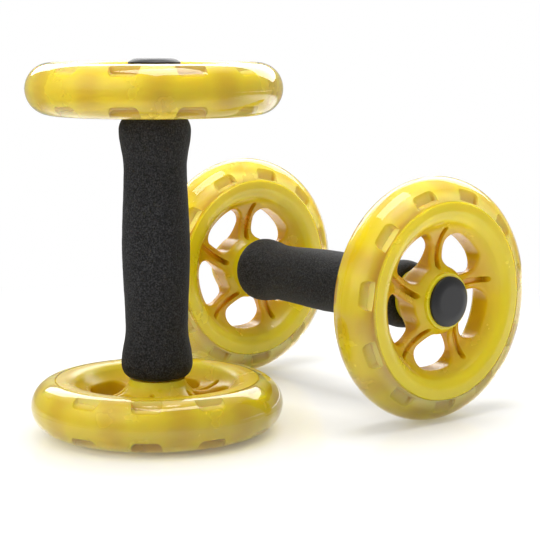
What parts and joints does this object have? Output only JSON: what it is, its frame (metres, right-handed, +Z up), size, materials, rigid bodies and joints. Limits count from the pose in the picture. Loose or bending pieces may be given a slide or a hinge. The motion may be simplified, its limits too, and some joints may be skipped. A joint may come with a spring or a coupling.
{
  "type": "ab wheel roller",
  "caption": "Pair of hand-held ab rollers, each with a contoured foam grip between spoked wheels with clear round tyres that turn on ball bearings, for rolling on the floor.",
  "frame": {"origin": "middle of the pair's bounding box, on the surface that both rollers rest on", "axes": "+Z up, along the standing roller's axle; +X along the rolling roller's axle, towards its near wheel; +Y from the standing roller to the rolling one"},
  "size_m": [0.2064, 0.278, 0.2064],
  "materials": {
    "tyre_urethane": "clear cast, glossy",
    "core_plastic": "moulded, glossy",
    "cap_plastic": "moulded, fine texture",
    "grip_foam": "turned closed-cell foam, matte",
    "handle_steel": "drawn tube",
    "plug_aluminium": "turned",
    "zinc_plated_steel": "zinc plated",
    "bearing_steel": "ground",
    "cage_nylon": "moulded"
  },
  "bodies": {
    "standing_handle": {"standing_handle_tube": "handle_steel", "standing_foam_grip": "grip_foam", "standing_upper_end_plug": "plug_aluminium", "standing_upper_thrust_washer": "zinc_plated_steel", "standing_upper_bearing_inner_races": "bearing_steel", "standing_upper_bearing_spacer": "plug_aluminium", "standing_upper_bolt_washer": "zinc_plated_steel", "standing_upper_axle_bolt": "zinc_plated_steel", "standing_lower_end_plug": "plug_aluminium", "standing_lower_thrust_washer": "zinc_plated_steel", "standing_lower_bearing_inner_races": "bearing_steel", "standing_lower_bearing_spacer": "plug_aluminium", "standing_lower_bolt_washer": "zinc_plated_steel", "standing_lower_axle_bolt": "zinc_plated_steel"},
    "standing_upper_wheel": {"standing_upper_wheel_core": "core_plastic", "standing_upper_tyre": "tyre_urethane", "standing_upper_bearing_outer_races": "bearing_steel", "standing_upper_bearing_shields": "zinc_plated_steel", "standing_upper_bearing_balls": "bearing_steel", "standing_upper_ball_cages": "cage_nylon", "standing_upper_hub_cap": "cap_plastic"},
    "standing_lower_wheel": {"standing_lower_wheel_core": "core_plastic", "standing_lower_tyre": "tyre_urethane", "standing_lower_bearing_outer_races": "bearing_steel", "standing_lower_bearing_shields": "zinc_plated_steel", "standing_lower_bearing_balls": "bearing_steel", "standing_lower_ball_cages": "cage_nylon", "standing_lower_hub_cap": "cap_plastic"},
    "rolling_handle": {"rolling_handle_tube": "handle_steel", "rolling_foam_grip": "grip_foam", "rolling_near_end_plug": "plug_aluminium", "rolling_near_thrust_washer": "zinc_plated_steel", "rolling_near_bearing_inner_races": "bearing_steel", "rolling_near_bearing_spacer": "plug_aluminium", "rolling_near_bolt_washer": "zinc_plated_steel", "rolling_near_axle_bolt": "zinc_plated_steel", "rolling_far_end_plug": "plug_aluminium", "rolling_far_thrust_washer": "zinc_plated_steel", "rolling_far_bearing_inner_races": "bearing_steel", "rolling_far_bearing_spacer": "plug_aluminium", "rolling_far_bolt_washer": "zinc_plated_steel", "rolling_far_axle_bolt": "zinc_plated_steel"},
    "rolling_near_wheel": {"rolling_near_wheel_core": "core_plastic", "rolling_near_tyre": "tyre_urethane", "rolling_near_bearing_outer_races": "bearing_steel", "rolling_near_bearing_shields": "zinc_plated_steel", "rolling_near_bearing_balls": "bearing_steel", "rolling_near_ball_cages": "cage_nylon", "rolling_near_hub_cap": "cap_plastic"},
    "rolling_far_wheel": {"rolling_far_wheel_core": "core_plastic", "rolling_far_tyre": "tyre_urethane", "rolling_far_bearing_outer_races": "bearing_steel", "rolling_far_bearing_shields": "zinc_plated_steel", "rolling_far_bearing_balls": "bearing_steel", "rolling_far_ball_cages": "cage_nylon", "rolling_far_hub_cap": "cap_plastic"}
  },
  "joints": [
    {"name": "rolling_roller_lift", "type": "slide", "parent": "standing_handle", "child": "rolling_handle", "axis": [0, 0, 1], "range_m": [0, 0.25]},
    {"name": "standing_upper_wheel_spin", "type": "hinge", "parent": "standing_handle", "child": "standing_upper_wheel", "pos_m": [0.011, -0.069, 0.1902], "axis": [0, 0, 1], "continuous": true},
    {"name": "standing_lower_wheel_spin", "type": "hinge", "parent": "standing_handle", "child": "standing_lower_wheel", "pos_m": [0.011, -0.069, 0.0162], "axis": [0, 0, 1], "continuous": true},
    {"name": "rolling_near_wheel_spin", "type": "hinge", "parent": "rolling_handle", "child": "rolling_near_wheel", "pos_m": [0.087, 0.069, 0.07], "axis": [1, 0, 0], "continuous": true},
    {"name": "rolling_far_wheel_spin", "type": "hinge", "parent": "rolling_handle", "child": "rolling_far_wheel", "pos_m": [-0.087, 0.069, 0.07], "axis": [1, 0, 0], "continuous": true}
  ]
}
